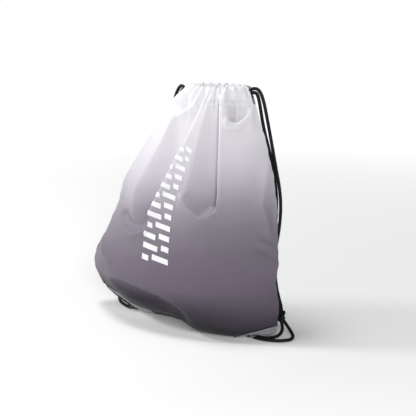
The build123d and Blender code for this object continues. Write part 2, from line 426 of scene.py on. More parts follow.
def plain_point(side, across, height, under):
    """Points of the filled body before any folds. side is -1 in front and 1 behind; across runs
    from -1 to 1 between the seams; under is 0 on the walls and 1 at the bottom seam."""
    middle, half = middle_and_half(height)
    deep = np.interp(height, HEIGHTS, FRONT if side < 0 else BACK)
    x = middle + half * across
    lens = 1 - np.abs(across) ** FULLNESS
    y = SEAM_Y + SEAM_LEAN * height + side * deep * lens * (1 - under)
    z = height.copy()
    # The corners lift off the floor, and the front's left foot is tucked up under the bag.
    low = np.exp(-height / 28.0)
    y = y + 12 * smooth(30, -50, x) * low * under
    z = z + low * (7.2 * smooth(98, 134, x) + 20 * smooth(-60, -135, x))
    if side < 0:
        tucked = smooth(58, 2, x) * smooth(6, -30, y)
        z = z + 19 * tucked * np.exp(-height / 55.0)
    return np.stack([x, y, z], -1)


print("deepest section", round(float((FRONT + BACK).max()), 1), "mm")

# %% [markdown]
# ## Folds
# Cloth that is gathered at the top and filled below shows three kinds of fold. A *crease* is a
# narrow rise or dip along a line. A *lap* is where the cloth on one side of a line stands over
# the other. A *pocket* is a long hollow that starts narrow at the gathers, widens downwards and
# ends in a rounded lip where the filling pushes the cloth out again. A cloth simulation makes
# folds like these, but chooses their places itself. Here each is a formula over the panel seen
# flat from the front, so a fold is a few numbers, goes where it should and is easy to move.


# %% Creases
def along_path(spots, x, z):
    """Signed distance from a path (positive on its right as seen in front) and share along it."""
    spots = np.array(spots, float)
    lengths = np.hypot(*np.diff(spots, axis=0).T)
    total, passed = lengths.sum(), 0.0
    best = np.full(x.shape, 1e9)
    signed, share = np.zeros(x.shape), np.zeros(x.shape)
    for (x0, z0), (x1, z1), length in zip(spots, spots[1:], lengths):
        dx, dz = (x1 - x0) / length, (z1 - z0) / length
        run = (x - x0) * dx + (z - z0) * dz
        held = np.clip(run, 0, length)
        gap = np.hypot(x - x0 - held * dx, z - z0 - held * dz)
        nearer = gap < best
        side = np.sign((z - z0) * dx - (x - x0) * dz)
        best = np.where(nearer, gap, best)
        signed = np.where(nearer, side * gap, signed)
        share = np.where(nearer, (passed + held) / total, share)
        passed += length
    return signed, share


def crease(spots, height, width, x, z, ease=0.18):
    """A rounded rise, or a dip where height is negative, that fades out at both ends."""
    gap, share = along_path(spots, x, z)
    ends = smooth(0, ease, share) * smooth(1, 1 - ease, share)
    return height * ends * np.exp(-((gap / width) ** 2))


print("made the crease")


# %% Laps and pockets
def lap(spots, height, wall, crest, slope, x, z, ease=0.12):
    """Cloth on the right of a downward path stands over the left by height: the left slopes down
    to the crease over one distance, and the right falls away from its crest over another."""
    gap, share = along_path(spots, x, z)
    ends = smooth(-0.01, ease, share) * smooth(1.0, 1 - ease, share)
    step = smooth(-0.3 * wall, wall, gap)
    raised = step * np.exp(-((np.maximum(gap, 0) / crest) ** 1.6))
    hollow = (1 - step) * np.exp(-((np.maximum(-gap, 0) / slope) ** 1.2))
    return height * ends * (0.5 * raised - 0.5 * hollow)


def left_of(spots, x, z):
    """1 to the left of a downward path and 0 to its right, with a steep wall between."""
    return 1 - smooth(-1.5, 2.2, along_path(spots, x, z)[0])


def pocket(top, foot, widths, depth, x, z, cup=0.16, rise=0.55):
    """A hollow from top down to foot, from one half width to another."""
    (x0, z0), (x1, z1) = top, foot
    length = math.hypot(x1 - x0, z1 - z0)
    dx, dz = (x1 - x0) / length, (z1 - z0) / length
    share = ((x - x0) * dx + (z - z0) * dz) / length
    half = widths[0] + (widths[1] - widths[0]) * np.clip(share, 0, 1.1)
    off = ((x - x0) * dz - (z - z0) * dx) / half
    share = share + cup * off**2
    across = np.clip(1 - off**2, 0, 1) ** 1.3
    hollow = smooth(0, rise, share) * smooth(1.0, 0.9, share)
    return -depth * hollow * across


print("made the lap and the pocket")

# %% [markdown]
# The front's own folds: the big left pocket, the long lap that the print rides on, the centre
# trough with its pleat, the small pocket at the top right, and the creases by the right seam.
# Their places are in millimetres on the front: across, then height. They add up, so a later
# crease can sharpen the rim of an earlier pocket. The back hangs plainly, with fewer of them.


# %% Folds of the front
def front_folds(x, z):
    long_lap = [(46, 362), (33, 340), (24, 303), (7, 264), (-3, 236), (-17, 206)]
    long_lap += [(-27, 180), (-28, 156)]
    centre_lap = [(57, 362), (62, 330), (66, 304), (72, 256), (77, 214), (77, 190)]
    big_pocket = pocket((14, 346), (-44, 150), (16, 45), 19, x, z, rise=0.4)
    trough = pocket((60, 362), (70, 182), (12, 46), 14, x, z, cup=0.2, rise=0.4)
    folds = big_pocket * left_of(long_lap, x, z) + trough * left_of(centre_lap, x, z)
    folds += pocket((80, 380), (90, 312), (5, 16), 11, x, z, cup=0.22, rise=0.3)
    folds += pocket((36, 360), (-47, 310), (7, 16), 8, x, z, cup=0.0, rise=0.3)
    folds += pocket((148, 270), (157, 150), (5, 15), 12, x, z, cup=0.1)
    folds += lap(long_lap, 13, 2.2, 19, 22, x, z)
    folds += lap(centre_lap, 10, 2.2, 14, 18, x, z, ease=0.08)
    folds += lap([(80, 364), (81, 346), (86, 316)], 8, 1.8, 9, 9, x, z, ease=0.06)
    folds += crease(long_lap[:-1], -3.0, 2.6, x, z, 0.08)
    folds += crease(centre_lap, -3.0, 2.4, x, z, 0.06)
    left_lip = [(-93, 185), (-89, 160), (-76, 148), (-53, 144), (-36, 150), (-25, 166)]
    trough_lip = [(22, 216), (29, 202), (43, 189), (58, 180), (70, 184), (80, 198)]
    folds += crease(left_lip, 7.0, 6, x, z) + crease(trough_lip, 6.5, 5, x, z)
    folds += crease([(-86, 176), (-76, 161), (-54, 156), (-36, 163)], -4.5, 6, x, z)
    folds += crease([(30, 218), (44, 200), (58, 192), (69, 198)], -4.0, 5, x, z)
    folds += crease([(73, 322), (78, 310), (90, 311), (104, 325), (106, 338)], 3.6, 3.6, x, z)
    folds += crease([(-50, 312), (-38, 316), (-3, 322), (17, 331), (36, 347)], 4.4, 4.5, x, z)
    folds += crease([(68, 352), (74, 330), (77, 312)], 2.2, 4, x, z)
    folds += crease([(100, 352), (104, 330), (111, 296)], 3.0, 6, x, z)
    folds += crease([(137, 270), (135, 228), (134, 200), (143, 174), (154, 146)], 8.0, 6.0, x, z)
    folds += crease([(130, 153), (146, 142), (160, 128)], 3.0, 4.5, x, z)
    folds += crease([(132, 141), (148, 131), (160, 122)], -1.8, 4.5, x, z)
    folds += crease([(-112, 62), (-60, 60), (-8, 50), (26, 36), (50, 16)], -7.5, 9, x, z)
    folds += crease([(-120, 74), (-60, 76), (0, 68), (40, 54)], 2.5, 9, x, z)
    folds += crease([(-158, 120), (-128, 100), (-92, 92)], 2.6, 8, x, z)
    folds += crease([(-95, 245), (-104, 205), (-112, 170)], 3.2, 7, x, z)
    folds += crease([(60, 150), (96, 120), (118, 84)], 2.4, 14, x, z)
    return folds


def back_folds(x, z):
    folds = pocket((20, 356), (-30, 190), (8, 30), 11, x, z)
    folds += crease([(-64, 200), (-50, 184), (-30, 180), (-6, 194)], 3.6, 6, x, z)
    folds += pocket((62, 356), (84, 205), (7, 27), 9, x, z, cup=0.2)
    folds += crease([(56, 214), (72, 199), (92, 196), (112, 212)], 3.4, 6, x, z)
    folds += pocket((-6, 330), (-72, 236), (8, 20), 7, x, z)
    folds += lap([(42, 360), (38, 300), (30, 250), (22, 200)], 9, 2.4, 15, 22, x, z)
    folds += lap([(88, 356), (104, 300), (114, 250), (120, 205)], 7, 2.4, 13, 18, x, z)
    folds += crease([(-60, 128), (0, 118), (70, 124)], 2.5, 12, x, z)
    folds += crease([(-110, 70), (-40, 48), (60, 44), (120, 58)], -4.0, 12, x, z)
    return folds


print("folds for the front and the back")

# %% [markdown]
# The gathers are the many small pleats that the cord pulls into the mouth. A plain wave round the
# mouth would make even ones, like a lampshade's. Here each runs down a different distance before
# it fades, and their spacing wanders, so they don't look machined. They only stand outwards,
# because the cord in the channel holds the cloth out from inside.

# %% Gathers and slack
PLEATS = 11  # in each panel


def gathers(side, across, height):
    wander = 0.6 * np.sin(5.1 * across + side) + 0.4 * np.sin(11.7 * across + 2.3 * side)
    phase = math.pi * PLEATS * across + 2.2 * wander
    reach = 54 + 20 * np.sin(7.3 * across + 1.1 * side) + 12 * np.sin(17.9 * across)
    strength = np.clip((height - (HEM_TOP - reach)) / reach, 0, 1) ** 1.5
    stand = np.abs(np.sin(phase / 2)) ** 0.8
    fine = 0.5 + 0.5 * np.sin(2.3 * phase + 1.3)
    return strength * (5.6 * stand + 0.9 * fine)


def slack(side, x, z):
    """The small unevenness of cloth that is pressed out from inside by soft things."""
    wave = np.sin(x / 21 + 1.7 * side) * np.sin(z / 27 + 0.6)
    wave += 0.7 * np.sin((x + 1.4 * z) / 33 + side)
    ripple = np.sin((x - 0.6 * z) / 9.5 + 2.0 * np.sin(z / 31)) * np.sin(z / 19 + side)
    return 0.9 * wave + 0.22 * ripple


print(PLEATS, "pleats to a panel")


# %% Any point of the finished cloth
def outward(side, across, height, under):
    """Which way the cloth faces, from its neighbours across and above; straight down beneath."""
    step, rise = 0.004, 1.5
    right, left = (plain_point(side, across + d, height, under) for d in (step, -step))
    top, foot = np.minimum(height + rise, HEM_TOP), np.maximum(height - rise, 0)
    wall = (height > 2)[..., None]
    above, below = (plain_point(side, across, h, under * 0) for h in (top, foot))
    lean = np.where(wall, above - below, np.array([0, side * 0.7, 0.7]))
    normal = np.cross(right - left, lean) * -side
    normal = normal * np.sign(normal[..., 1:2] * side + 1e-9)
    normal /= np.linalg.norm(normal, axis=-1, keepdims=True) + 1e-12
    down = smooth(0, 1, under)[..., None]
    return normal * (1 - down) + np.array([0, 0, -1.0]) * down


def folded_point(side, across, height, under, proud=0.0, ruck=1.0):
    """Points of the finished cloth, proud of it by an offset, with a share of the gathers."""
    plain = plain_point(side, across, height, under)
    normal = outward(side, across, height, under)
    x, z = plain[..., 0], plain[..., 2]
    folds = front_folds(x, z) if side < 0 else back_folds(x, z)
    folds = np.where(folds < 0, folds * smooth(HEM_TOP, HEM_FOOT - 14, height), folds)
    loose = smooth(0, 40, height) * smooth(HEM_TOP, HEM_FOOT - 10, height)
    folds = folds + slack(side, x, z) * loose + ruck * gathers(side, across, height)
    folds = folds * (1 - np.abs(across) ** 10) * (1 - under)
    pucker = 0.35 * (np.sin(height / 2.9) + np.sin(height / 7.3))
    made = plain + normal * (folds + proud)[..., None]
    made[..., 0] += pucker * np.abs(across) ** 24 * np.sign(across)
    return made


print("made the folded cloth's points")

# %% [markdown]
# ## Making the cloth pieces
# Each panel is one sheet, sewn along three edges. It could be a plane pushed about by modifiers,
# but it is simpler as a grid of points put through `folded_point`, with more of them where the
# folds are tight. Each piece gets two extras: a UV map in metres of flat cloth, for the weave, and
# the fade that the ombre print and the painted shade at the base need. Solidify gives it the
# cloth's thickness.


# %% Grid helper
# In metres: each panel's cut, and how much of its height goes into the folded hem.
CUT_WIDTH, CUT_HEIGHT, HEM_CLOTH = 0.36, 0.45, 0.055
PANEL_CUT = CUT_HEIGHT - HEM_CLOTH


def print_and_base_shade(x, z):
    """How far up the ombre print a point is, 0 to 1, with painted shade at the base added; the cloth
    hangs lower on the left.
    """
    hangs = 30 * smooth(120, -70, x) * smooth(25, 110, z)
    # Painted shade at the base: below 85 mm this lifts the ramp on the right and lowers it in the
    # middle and on the left, so the dark base reaches higher on the left.
    foot = (16 * smooth(50, 140, x) - 26 * smooth(40, -60, x) - 6) * smooth(85, 35, z)
    return np.clip((z + hangs + foot) / 372.0, 0, 1)


def grid_faces(rows, columns, first=0, loop=False):
    """The faces of a grid whose vertices count from first; a loop joins its last row to row 0."""
    faces = []
    for r in range(rows if loop else rows - 1):
        for c in range(columns - 1):
            a, b = first + r * columns + c, first + ((r + 1) % rows) * columns + c
            faces.append((a, a + 1, b + 1, b))
    return faces


def place_shape(name, shape, material):
    """Puts a mesh or curve into the scene with its finish, smooth shaded."""
    if isinstance(shape, bpy.types.Mesh):
        shape.polygons.foreach_set("use_smooth", [True] * len(shape.polygons))
    shape.materials.append(material)
    made = bpy.data.objects.new(name, shape)
    bpy.context.collection.objects.link(made)
    return made


def thicken(piece, thick, offset):
    solid = piece.modifiers.new("thickness", "SOLIDIFY")
    solid.thickness, solid.offset = thick * MM, offset


def grid_piece(name, points, material, fade=None, flat=None, thick=0.0, loop=False):
    """A mesh from a rows x columns x 3 array of points in millimetres."""
    mesh = bpy.data.meshes.new(name)
    faces = grid_faces(*points.shape[:2], loop=loop)
    mesh.from_pydata((points.reshape(-1, 3) * MM).tolist(), [], faces)
    mesh.validate()
    if fade is not None:
        mesh.attributes.new("fade", "FLOAT", "POINT").data.foreach_set("value", fade.ravel())
    if flat is not None:
        uv = mesh.uv_layers.new(name="flat")
        corner = np.zeros(len(mesh.loops), np.int32)
        mesh.loops.foreach_get("vertex_index", corner)
        uv.data.foreach_set("uv", flat.reshape(-1, 2)[corner].ravel())
    made = place_shape(name, mesh, material)
    if thick:
        thicken(made, thick, -1)
    return made


def finish_piece(piece, body, slot, *nodes):
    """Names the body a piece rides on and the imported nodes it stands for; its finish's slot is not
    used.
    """
    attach(piece, body)
    if nodes:
        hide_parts(*nodes)
    return piece


print("each panel is cut", CUT_WIDTH, "x", CUT_HEIGHT, "m, with", HEM_CLOTH, "m of it in the hem")

# %% Rows and columns of a panel
COLUMNS, CLOTH = 240, 0.7
quarter = math.pi / 2 * 0.985  # just short of a quarter turn, so that no column is too narrow
across_row = np.sin(np.linspace(-1, 1, COLUMNS) * quarter) / math.sin(quarter)
under_rows = np.linspace(1, 0, 14)[:-1]
wall_rows = np.concatenate([
    np.linspace(0, 40, 26)[:-1],
    np.linspace(40, 300, 160)[:-1],
    np.linspace(300, HEM_FOOT, 28),
])
print(len(under_rows), "rows beneath and", len(wall_rows), "up the wall")


# %% Front and back panels
def panel(side, name, node):
    heights = np.concatenate([np.zeros(len(under_rows)), wall_rows])
    unders = np.concatenate([under_rows, np.zeros(len(wall_rows))])
    across, height = np.meshgrid(across_row, heights)
    under = np.repeat(unders[:, None], COLUMNS, 1)
    points = folded_point(side, across, height, under)
    step = np.linalg.norm(np.diff(points, axis=0), axis=-1).mean(1)
    up = np.concatenate([[0], np.cumsum(step)])
    up = up / up[-1] * PANEL_CUT
    flat = np.stack([(across + 1) / 2 * CUT_WIDTH, np.repeat(up[:, None], COLUMNS, 1)], -1)
    fade = print_and_base_shade(points[..., 0], points[..., 2])
    piece = grid_piece(name, points, cloth, fade, flat, thick=CLOTH)
    if side > 0:
        piece.data.flip_normals()
    finish_piece(piece, "bag", "coated_cloth", node)
    print(name, len(piece.data.vertices), "vertices,", round(float(up[-1]), 3), "m tall flat")
    return piece


front = panel(-1, "front_cloth", "front_panel")
back = panel(1, "back_cloth", "back_panel")

# %% [markdown]
# ## The drawstring channel
# The hem is folded over and sewn, and the cord inside rucks it up. It could be the panel's own top
# rows bent over, but a channel of its own can be as fine as its pleats need. In section it is a
# flattened loop, so each is a tube along the mouth whose wall follows the panel's pleats.

# %% Channels
# Inwards offset from the panel's face and height above the channel's foot, in millimetres.
LOOP = [
    (-0.3, -3.0), (-0.4, 0), (-0.4, 4), (-0.4, 9), (-0.3, 14), (0.0, 19), (0.9, 22.6), (2.7, 23.8),
    (4.6, 22.4), (5.8, 17.5), (6.3, 12), (6.1, 6.5), (4.9, 1.0), (2.4, -2.4),
]


def channel(side, name, node):
    across_hem = np.linspace(-0.965, 0.965, 230)
    rows = []
    for inward, up in LOOP:
        height = np.full(across_hem.shape, HEM_FOOT + up)
        peak = 1.2 * np.sin(26 * across_hem + side) + 0.8 * np.sin(61 * across_hem)
        ruck = np.interp(inward, [0.9, 4.6], [1.0, -0.25])  # the inner wall hardly pleats
        points = folded_point(side, across_hem, height, np.zeros_like(height), -inward, ruck)
        points[:, 2] += peak * smooth(12, 23, up)
        rows.append(points)
    points = np.array(rows)
    if side < 0:
        points = points[::-1]
    flat_x = np.broadcast_to((across_hem + 1) / 2 * CUT_WIDTH, points.shape[:2])
    flat_y = np.broadcast_to(np.linspace(0, HEM_CLOTH, len(LOOP))[:, None], points.shape[:2])
    fade = print_and_base_shade(points[..., 0], points[..., 2])
    flat = np.stack([flat_x, flat_y], -1)
    piece = grid_piece(name, points, cloth, fade, flat, thick=0.5, loop=True)
    subdivide = piece.modifiers.new("soften", "SUBSURF")
    subdivide.levels = subdivide.render_levels = 1
    return finish_piece(piece, "bag", "coated_cloth", node)


front_hem = channel(-1, "front_gathered_hem", "front_drawstring_channel")
back_hem = channel(1, "back_gathered_hem", "back_drawstring_channel")
print(front_hem.name, "and", back_hem.name, "of", len(LOOP), "points round")

# %% [markdown]
# ## Cords
# Each strap is one cord folded in two, so two strands leave the channel side by side, meet in a
# knot above the corner, and run on as two legs round the corner into its eyelet. A bevelled curve
# would be quick, but its wall is smooth. Here each route is a smooth spline that a few
# points pull into shape, and the braid is real geometry: the tube's wall swells
# along two sets of yarns that wind opposite ways.

# %% Routes, in millimetres
FLOOR = 2.4  # height of a cord's middle where it lies on the floor
STRANDS = {
    "right_strap_outer_strand": [
        (100.5, 25.6, 360.5), (106.5, 26.2, 362.6), (113.5, 27.6, 357.5), (118.5, 29.6, 343.0),
        (122.5, 32.2, 321.0), (127.5, 36.0, 292.0), (133.5, 40.5, 254.0), (142.5, 45.0, 205.0),
        (141.5, 47.0, 160.0), (134.5, 43.5, 112.0), (141.5, 36.5, 74.0), (150.0, 31.0, 52.5),
        (157.6, 25.0, 40.0), (158.2, 22.5, 33.0),
    ],
    "right_strap_inner_strand": [
        (100.5, 25.8, 355.2), (105.5, 29.4, 356.6), (109.0, 31.0, 349.5), (112.0, 31.6, 335.0),
        (115.5, 32.4, 315.0), (119.5, 35.4, 294.0), (127.0, 40.5, 262.0), (135.5, 47.5, 205.0),
        (133.5, 49.0, 155.0), (128.0, 46.5, 108.0), (135.5, 38.0, 69.0), (147.5, 26.5, 49.0),
        (155.3, 20.6, 40.0), (157.2, 20.2, 32.5),
    ],
    "left_strap_outer_strand": [
        (-10.0, 25.6, 357.5), (-15.0, 28.4, 361.2), (-22.5, 31.6, 356.8), (-29.5, 35.6, 347.0),
        (-37.5, 41.0, 331.5), (-44.0, 46.5, 309.0), (-53.0, 54.0, 275.0), (-67.0, 62.0, 234.0),
        (-84.0, 66.0, 190.0), (-101.0, 66.5, 147.0), (-117.0, 62.5, 108.0), (-129.0, 57.0, 76.0),
        (-135.5, 49.0, 53.5), (-135.8, 42.6, 39.5), (-134.6, 39.2, 33.0),
    ],
    "left_strap_inner_strand": [
        (-9.0, 26.0, 354.0), (-14.5, 30.5, 355.6), (-20.5, 34.8, 350.5), (-27.0, 38.5, 340.5),
        (-34.0, 44.5, 323.5), (-41.5, 51.5, 296.0), (-49.0, 56.0, 266.0), (-61.0, 60.5, 228.0),
        (-77.0, 62.0, 186.0), (-94.0, 62.5, 145.0), (-110.0, 58.5, 106.0), (-123.0, 52.0, 74.0),
        (-130.5, 43.5, 52.0), (-132.2, 38.6, 40.0), (-133.6, 37.0, 32.5),
    ],
}
LEGS = {
    "right_corner_inner_leg": [
        (158.0, 20.5, 29.0), (159.8, 19.2, 22.0), (163.0, 17.0, 14.5), (164.0, 11.5, 8.0),
        (160.0, 3.5, 4.0), (151.5, -3.0, FLOOR), (142.5, -6.5, FLOOR), (136.0, -7.4, FLOOR),
        (130.2, -7.6, FLOOR), (126.6, -7.6, 6.2), (126.0, -7.6, 11.0),
    ],
    "right_corner_outer_leg": [
        (158.8, 21.8, 28.5), (161.5, 23.4, 22.5), (165.8, 24.3, 17.0), (172.5, 23.5, 9.5),
        (180.0, 18.5, 3.8), (181.5, 8.5, FLOOR), (174.5, -1.5, FLOOR), (163.0, -8.5, FLOOR),
        (150.5, -12.0, FLOOR), (139.5, -12.9, FLOOR), (130.2, -12.4, FLOOR),
        (126.6, -12.4, 6.2), (126.0, -12.4, 11.0),
    ],
    "left_corner_inner_leg": [
        (-133.8, 37.8, 29.0), (-133.0, 37.4, 22.5), (-131.0, 36.0, 15.5), (-127.0, 33.5, 8.5),
        (-120.5, 29.5, 4.0), (-112.0, 24.0, FLOOR), (-104.0, 16.5, FLOOR), (-98.0, 9.6, FLOOR),
        (-92.4, 6.5, FLOOR), (-88.6, 6.4, 6.2), (-88.0, 6.4, 11.0),
    ],
    "left_corner_outer_leg": [
        (-134.8, 38.3, 29.0), (-137.6, 38.6, 23.6), (-139.0, 37.0, 17.0), (-138.5, 33.0, 10.0),
        (-135.0, 27.0, 4.6), (-128.5, 19.5, FLOOR), (-119.5, 12.0, FLOOR),
        (-109.0, 6.0, FLOOR), (-100.0, 2.6, FLOOR), (-92.4, 1.7, FLOOR), (-88.6, 1.6, 6.2),
        (-88.0, 1.6, 11.0),
    ],
}
CORD = 4.5  # diameter
print(len(STRANDS), "strands and", len(LEGS), "legs")


# %% A smooth line from a route
def length_along(line):
    """How far along a line each of its points is."""
    return np.concatenate([[0], np.cumsum(np.linalg.norm(np.diff(line, axis=0), axis=1))])


def spline_points(route, pitch=0.8, closed=False):
    """Evenly spaced points, in millimetres, along the smooth spline that a route controls."""
    curve = bpy.data.curves.new("route", "CURVE")
    curve.dimensions, curve.resolution_u = "3D", 24
    spline = curve.splines.new("NURBS")
    spline.points.add(len(route) - 1)
    for point, spot in zip(spline.points, route):
        point.co = (*(v * MM for v in spot), 1)
    spline.order_u = 3
    spline.use_endpoint_u = not closed
    spline.use_cyclic_u = closed
    holder = bpy.data.objects.new("route", curve)
    bpy.context.collection.objects.link(holder)
    mesh = bpy.data.meshes.new_from_object(holder)
    spots = np.array([v.co for v in mesh.vertices]) / MM
    bpy.data.objects.remove(holder)
    bpy.data.meshes.remove(mesh)
    if closed:
        spots = np.vstack([spots, spots[:1]])
    reach = length_along(spots)
    even = np.linspace(0, reach[-1], max(int(reach[-1] / pitch), 8))
    return np.stack([np.interp(even, reach, spots[:, k]) for k in range(3)], 1)


print("made spline_points")


# %% Braid
def braided_tube(name, line, closed=False):
    """A cord's wall round a line of points: four yarns wind each way, a turn every 13 mm."""
    sides, yarns, lay = 24, 4, 13.0
    ahead = np.gradient(line, axis=0)
    if closed:
        ahead = np.roll(line, -1, 0) - np.roll(line, 1, 0)
    ahead /= np.linalg.norm(ahead, axis=1, keepdims=True)
    normal = np.zeros_like(line)
    normal[0] = np.cross(ahead[0], (0.31, 0.17, 0.93))
    normal[0] /= np.linalg.norm(normal[0])
    for k in range(1, len(line)):
        turned = normal[k - 1] - ahead[k] * np.dot(normal[k - 1], ahead[k])
        normal[k] = turned / np.linalg.norm(turned)
    other = np.cross(ahead, normal)
    turn = np.arange(sides) / sides * 2 * math.pi
    spin = length_along(line)[:, None] / lay * 2 * math.pi
    yarn = [np.abs(np.sin(yarns / 2 * (turn + way * spin))) for way in (1, -1)]
    width = CORD / 2 * (0.98 + 0.14 * np.maximum(*yarn))
    cos, sin = np.cos(turn)[None, :, None], np.sin(turn)[None, :, None]
    points = line[:, None] + width[..., None] * (cos * normal[:, None] + sin * other[:, None])
    points = np.concatenate([points, points[:, :1]], 1)
    piece = grid_piece(name, points, braid)
    cap_tube(piece, sides + 1, len(line), closed)
    return piece


def cap_tube(piece, columns, rows, closed):
    """Closes a tube's seam, and its ends unless the tube is a ring."""
    shape = bmesh.new()
    shape.from_mesh(piece.data)
    shape.verts.ensure_lookup_table()
    if not closed:
        for row in (0, rows - 1):
            shape.faces.new([shape.verts[row * columns + c] for c in range(columns - 1)])
    bmesh.ops.remove_doubles(shape, verts=shape.verts, dist=0.00001)
    bmesh.ops.recalc_face_normals(shape, faces=shape.faces)
    for face in shape.faces:
        face.smooth = True
    shape.to_mesh(piece.data)
    shape.free()


print("made the braid")


# %% Strands and legs
def lay_cord(name, route, body):
    line = spline_points(route)
    piece = braided_tube(name + "_cord", line)
    finish_piece(piece, body, "braided_cord", name)


for name, route in STRANDS.items():
    side_name = name.split("_")[0]
    lay_cord(name, route, f"{side_name}_strap")
for name, route in LEGS.items():
    lay_cord(name, route, "bag")

# %% [markdown]
# Inside the hem each cord runs round the mouth, front and back, and turns at the far end. Only
# glimpses of it show, down in the mouth, but a channel with nothing in it would look wrong from
# above. Its route is read from the cloth's own shape, a little inside each face.


# %% Cord in the channels
MOUTH_MIDDLE, MOUTH_HALF = 43.5, 57.0


def channel_cord(side_name, sign, level, inward):
    share = np.linspace(0.86, -0.86, 9) * sign
    level_row = np.full(share.shape, level)
    faces = []
    for side in (-1, 1):
        face = plain_point(side, share, level_row, level_row * 0)
        face[:, 1] -= side * inward
        faces.append(face)
    turn_x, seam = faces[0][-1][0] - sign * 5, SEAM_Y + SEAM_LEAN * level
    start = (MOUTH_MIDDLE + sign * MOUTH_HALF, seam)
    route = [(*start, level + 2.5)] + faces[0].tolist()
    route += [(turn_x, seam - 4, level), (turn_x, seam + 4, level)]
    route += faces[1][::-1].tolist() + [(*start, level - 2.5)]
    name = f"{side_name}_cord_in_channel"
    piece = finish_piece(
        braided_tube(name + "_braid", spline_points(route, 1.2)), "bag", "braided_cord", name
    )
    print(piece.name, "at height", level)


channel_cord("right", 1, HEM_FOOT + 17.0, 3.7)
channel_cord("left", -1, HEM_FOOT + 9.8, 3.9)

# %% [markdown]
# ## Knots
# An overhand knot drawn tight is a small trefoil. A lumpy ball would pass from far off, but one
# loop of the same braided tube, wound as a trefoil about the knot's centre, gives the three
# bulges that a real one shows, and its braid matches the cord's.


# %% Knots
def tight_knot(name, node, size, tilt):
    low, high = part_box(node)
    centre = np.array((low + high) / 2) / MM
    turn = np.linspace(0, 2 * math.pi, 24, endpoint=False)
    loop = np.stack([
        np.sin(turn) + 2 * np.sin(2 * turn),
        -1.35 * np.sin(3 * turn),
        (np.cos(turn) - 2 * np.cos(2 * turn)) * 1.15,
    ], 1)
    loop *= size / 3.0
    cos, sin = math.cos(tilt), math.sin(tilt)
    loop = loop @ np.array([(cos, -sin, 0), (sin, cos, 0), (0, 0, 1)])
    line = spline_points((loop + centre).tolist(), 0.7, closed=True)
    finish_piece(braided_tube(name, line, closed=True), "bag", "braided_cord", node)
    print(name, "from", round(float(length_along(line)[-1])), "mm of cord")


tight_knot("right_overhand_knot", "right_tie_knot", 7.0, 0.5)
tight_knot("left_overhand_knot", "left_tie_knot", 7.0, -0.6)
tight_knot("right_stopper", "right_stopper_knot", 5.6, 0.3)
tight_knot("left_stopper", "left_stopper_knot", 5.6, 0.3)

# %% [markdown]
# ## Corner reinforcements
# Imitation leather is wrapped round each bottom corner, front and back, under a folded edge. A
# separate flat shape would have to be bent to fit. It is simpler to take the panel's own surface
# again, lifted by the leather's thickness and cut along a slanting line, so it lies on the cloth.

# %% Corner patches
PATCH_TALL, PATCH_WIDE = 20.0, 0.40  # millimetres, and a share of the half width
FACES = {-1: "front", 1: "back"}


def patch(side, corner):
    """Columns from the patch's tip to the side seam, each from the bottom seam up the wall."""
    sign = 1 if corner == "right" else -1
    name = f"{corner}_{FACES[side]}_corner_patch"
    rows, columns = 34, 60
    unit = 12.0  # height up the wall that counts as much as the whole way beneath
    grid = np.zeros((rows, columns, 3))
    for c, far in enumerate(np.linspace(0, 1, columns)):
        top = 0.5 + (PATCH_TALL - 0.5) * far**1.25
        across = sign * (0.998 - PATCH_WIDE * (1 - far))
        path = np.linspace(-1, top / unit, rows)
        under = np.clip(-path, 0, 1)
        height = np.clip(path, 0, None) * unit
        grid[:, c] = folded_point(side, np.full(rows, across), height, under, proud=0.9)
    if sign * side > 0:
        grid = grid[:, ::-1]
    piece = grid_piece(name + "_leather", grid, leather, thick=0.8)
    finish_piece(piece, "bag", "corner_patch", name)
    edge = grid[-1] + np.array([0, side * 0.3, 0.2])
    rolled = smooth_tube(name + "_rolled_edge", edge, 1.1, leather)
    finish_piece(rolled, "bag", "corner_patch")
    return grid


def smooth_tube(name, line, radius, material):
    """A plain round tube round a line of points, for piping and rolled edges."""
    curve = bpy.data.curves.new(name, "CURVE")
    curve.dimensions, curve.bevel_depth, curve.bevel_resolution = "3D", radius * MM, 4
    curve.use_fill_caps = True
    spline = curve.splines.new("POLY")
    spline.points.add(len(line) - 1)
    for point, spot in zip(spline.points, line):
        point.co = (*(v * MM for v in spot), 1)
    return place_shape(name, curve, material)


patch_grids = {}
for corner in ("right", "left"):
    for side in FACES:
        patch_grids[corner, side] = patch(side, corner)
print(len(patch_grids), "corner patches")

# %% [markdown]
# ## Stitches
# A line of lockstitch is a row of short raised threads. A bump in the material could suggest it,
# but it has no edge against the light. Here each stitch is a small tapered bead laid along the
# cloth, and a whole line is one piece.


# %% Stitching
STITCH = 2.3  # length of one


def stitch_line(name, line, pitch, radius, material):
    """Beads of thread along a line of points in millimetres."""
    reach = length_along(line)
    shape = bmesh.new()
    count = int(reach[-1] / pitch)
    for k in range(count):
        middle = (k + 0.5) * pitch
        ends = [
            Vector([np.interp(middle + d, reach, line[:, axis]) for axis in range(3)])
            for d in (-STITCH / 2, STITCH / 2)
        ]
        bead = bmesh.ops.create_uvsphere(shape, u_segments=8, v_segments=6, radius=1.0)["verts"]
        turn = (ends[1] - ends[0]).to_track_quat("Z", "Y")
        for vertex in bead:
            spot = Vector((vertex.co.x * radius, vertex.co.y * radius, vertex.co.z * STITCH / 2))
            vertex.co = ((ends[0] + ends[1]) / 2 + turn @ spot) * MM
    mesh = bpy.data.meshes.new(name)
    shape.to_mesh(mesh)
    shape.free()
    print(name, count, "stitches")
    return place_shape(name, mesh, material)


def hem_line(side, up):
    across = np.linspace(-0.93, 0.93, 160)
    height = np.full(across.shape, HEM_FOOT + up)
    return folded_point(side, across, height, np.zeros_like(height), proud=1.4)


for side, face in FACES.items():
    stitches = stitch_line(f"{face}_hem_stitches", hem_line(side, 3.5), 3.2, 0.32, thread)
    finish_piece(stitches, "bag", "thread", f"{face}_hem_stitching")
for (corner, side), grid in patch_grids.items():
    line = grid[-5] + np.array([0, side * 0.25, 0.1])
    stitches = stitch_line(f"{corner}_{FACES[side]}_patch_stitches", line, 3.4, 0.3, tape)
    finish_piece(stitches, "bag", "corner_patch")

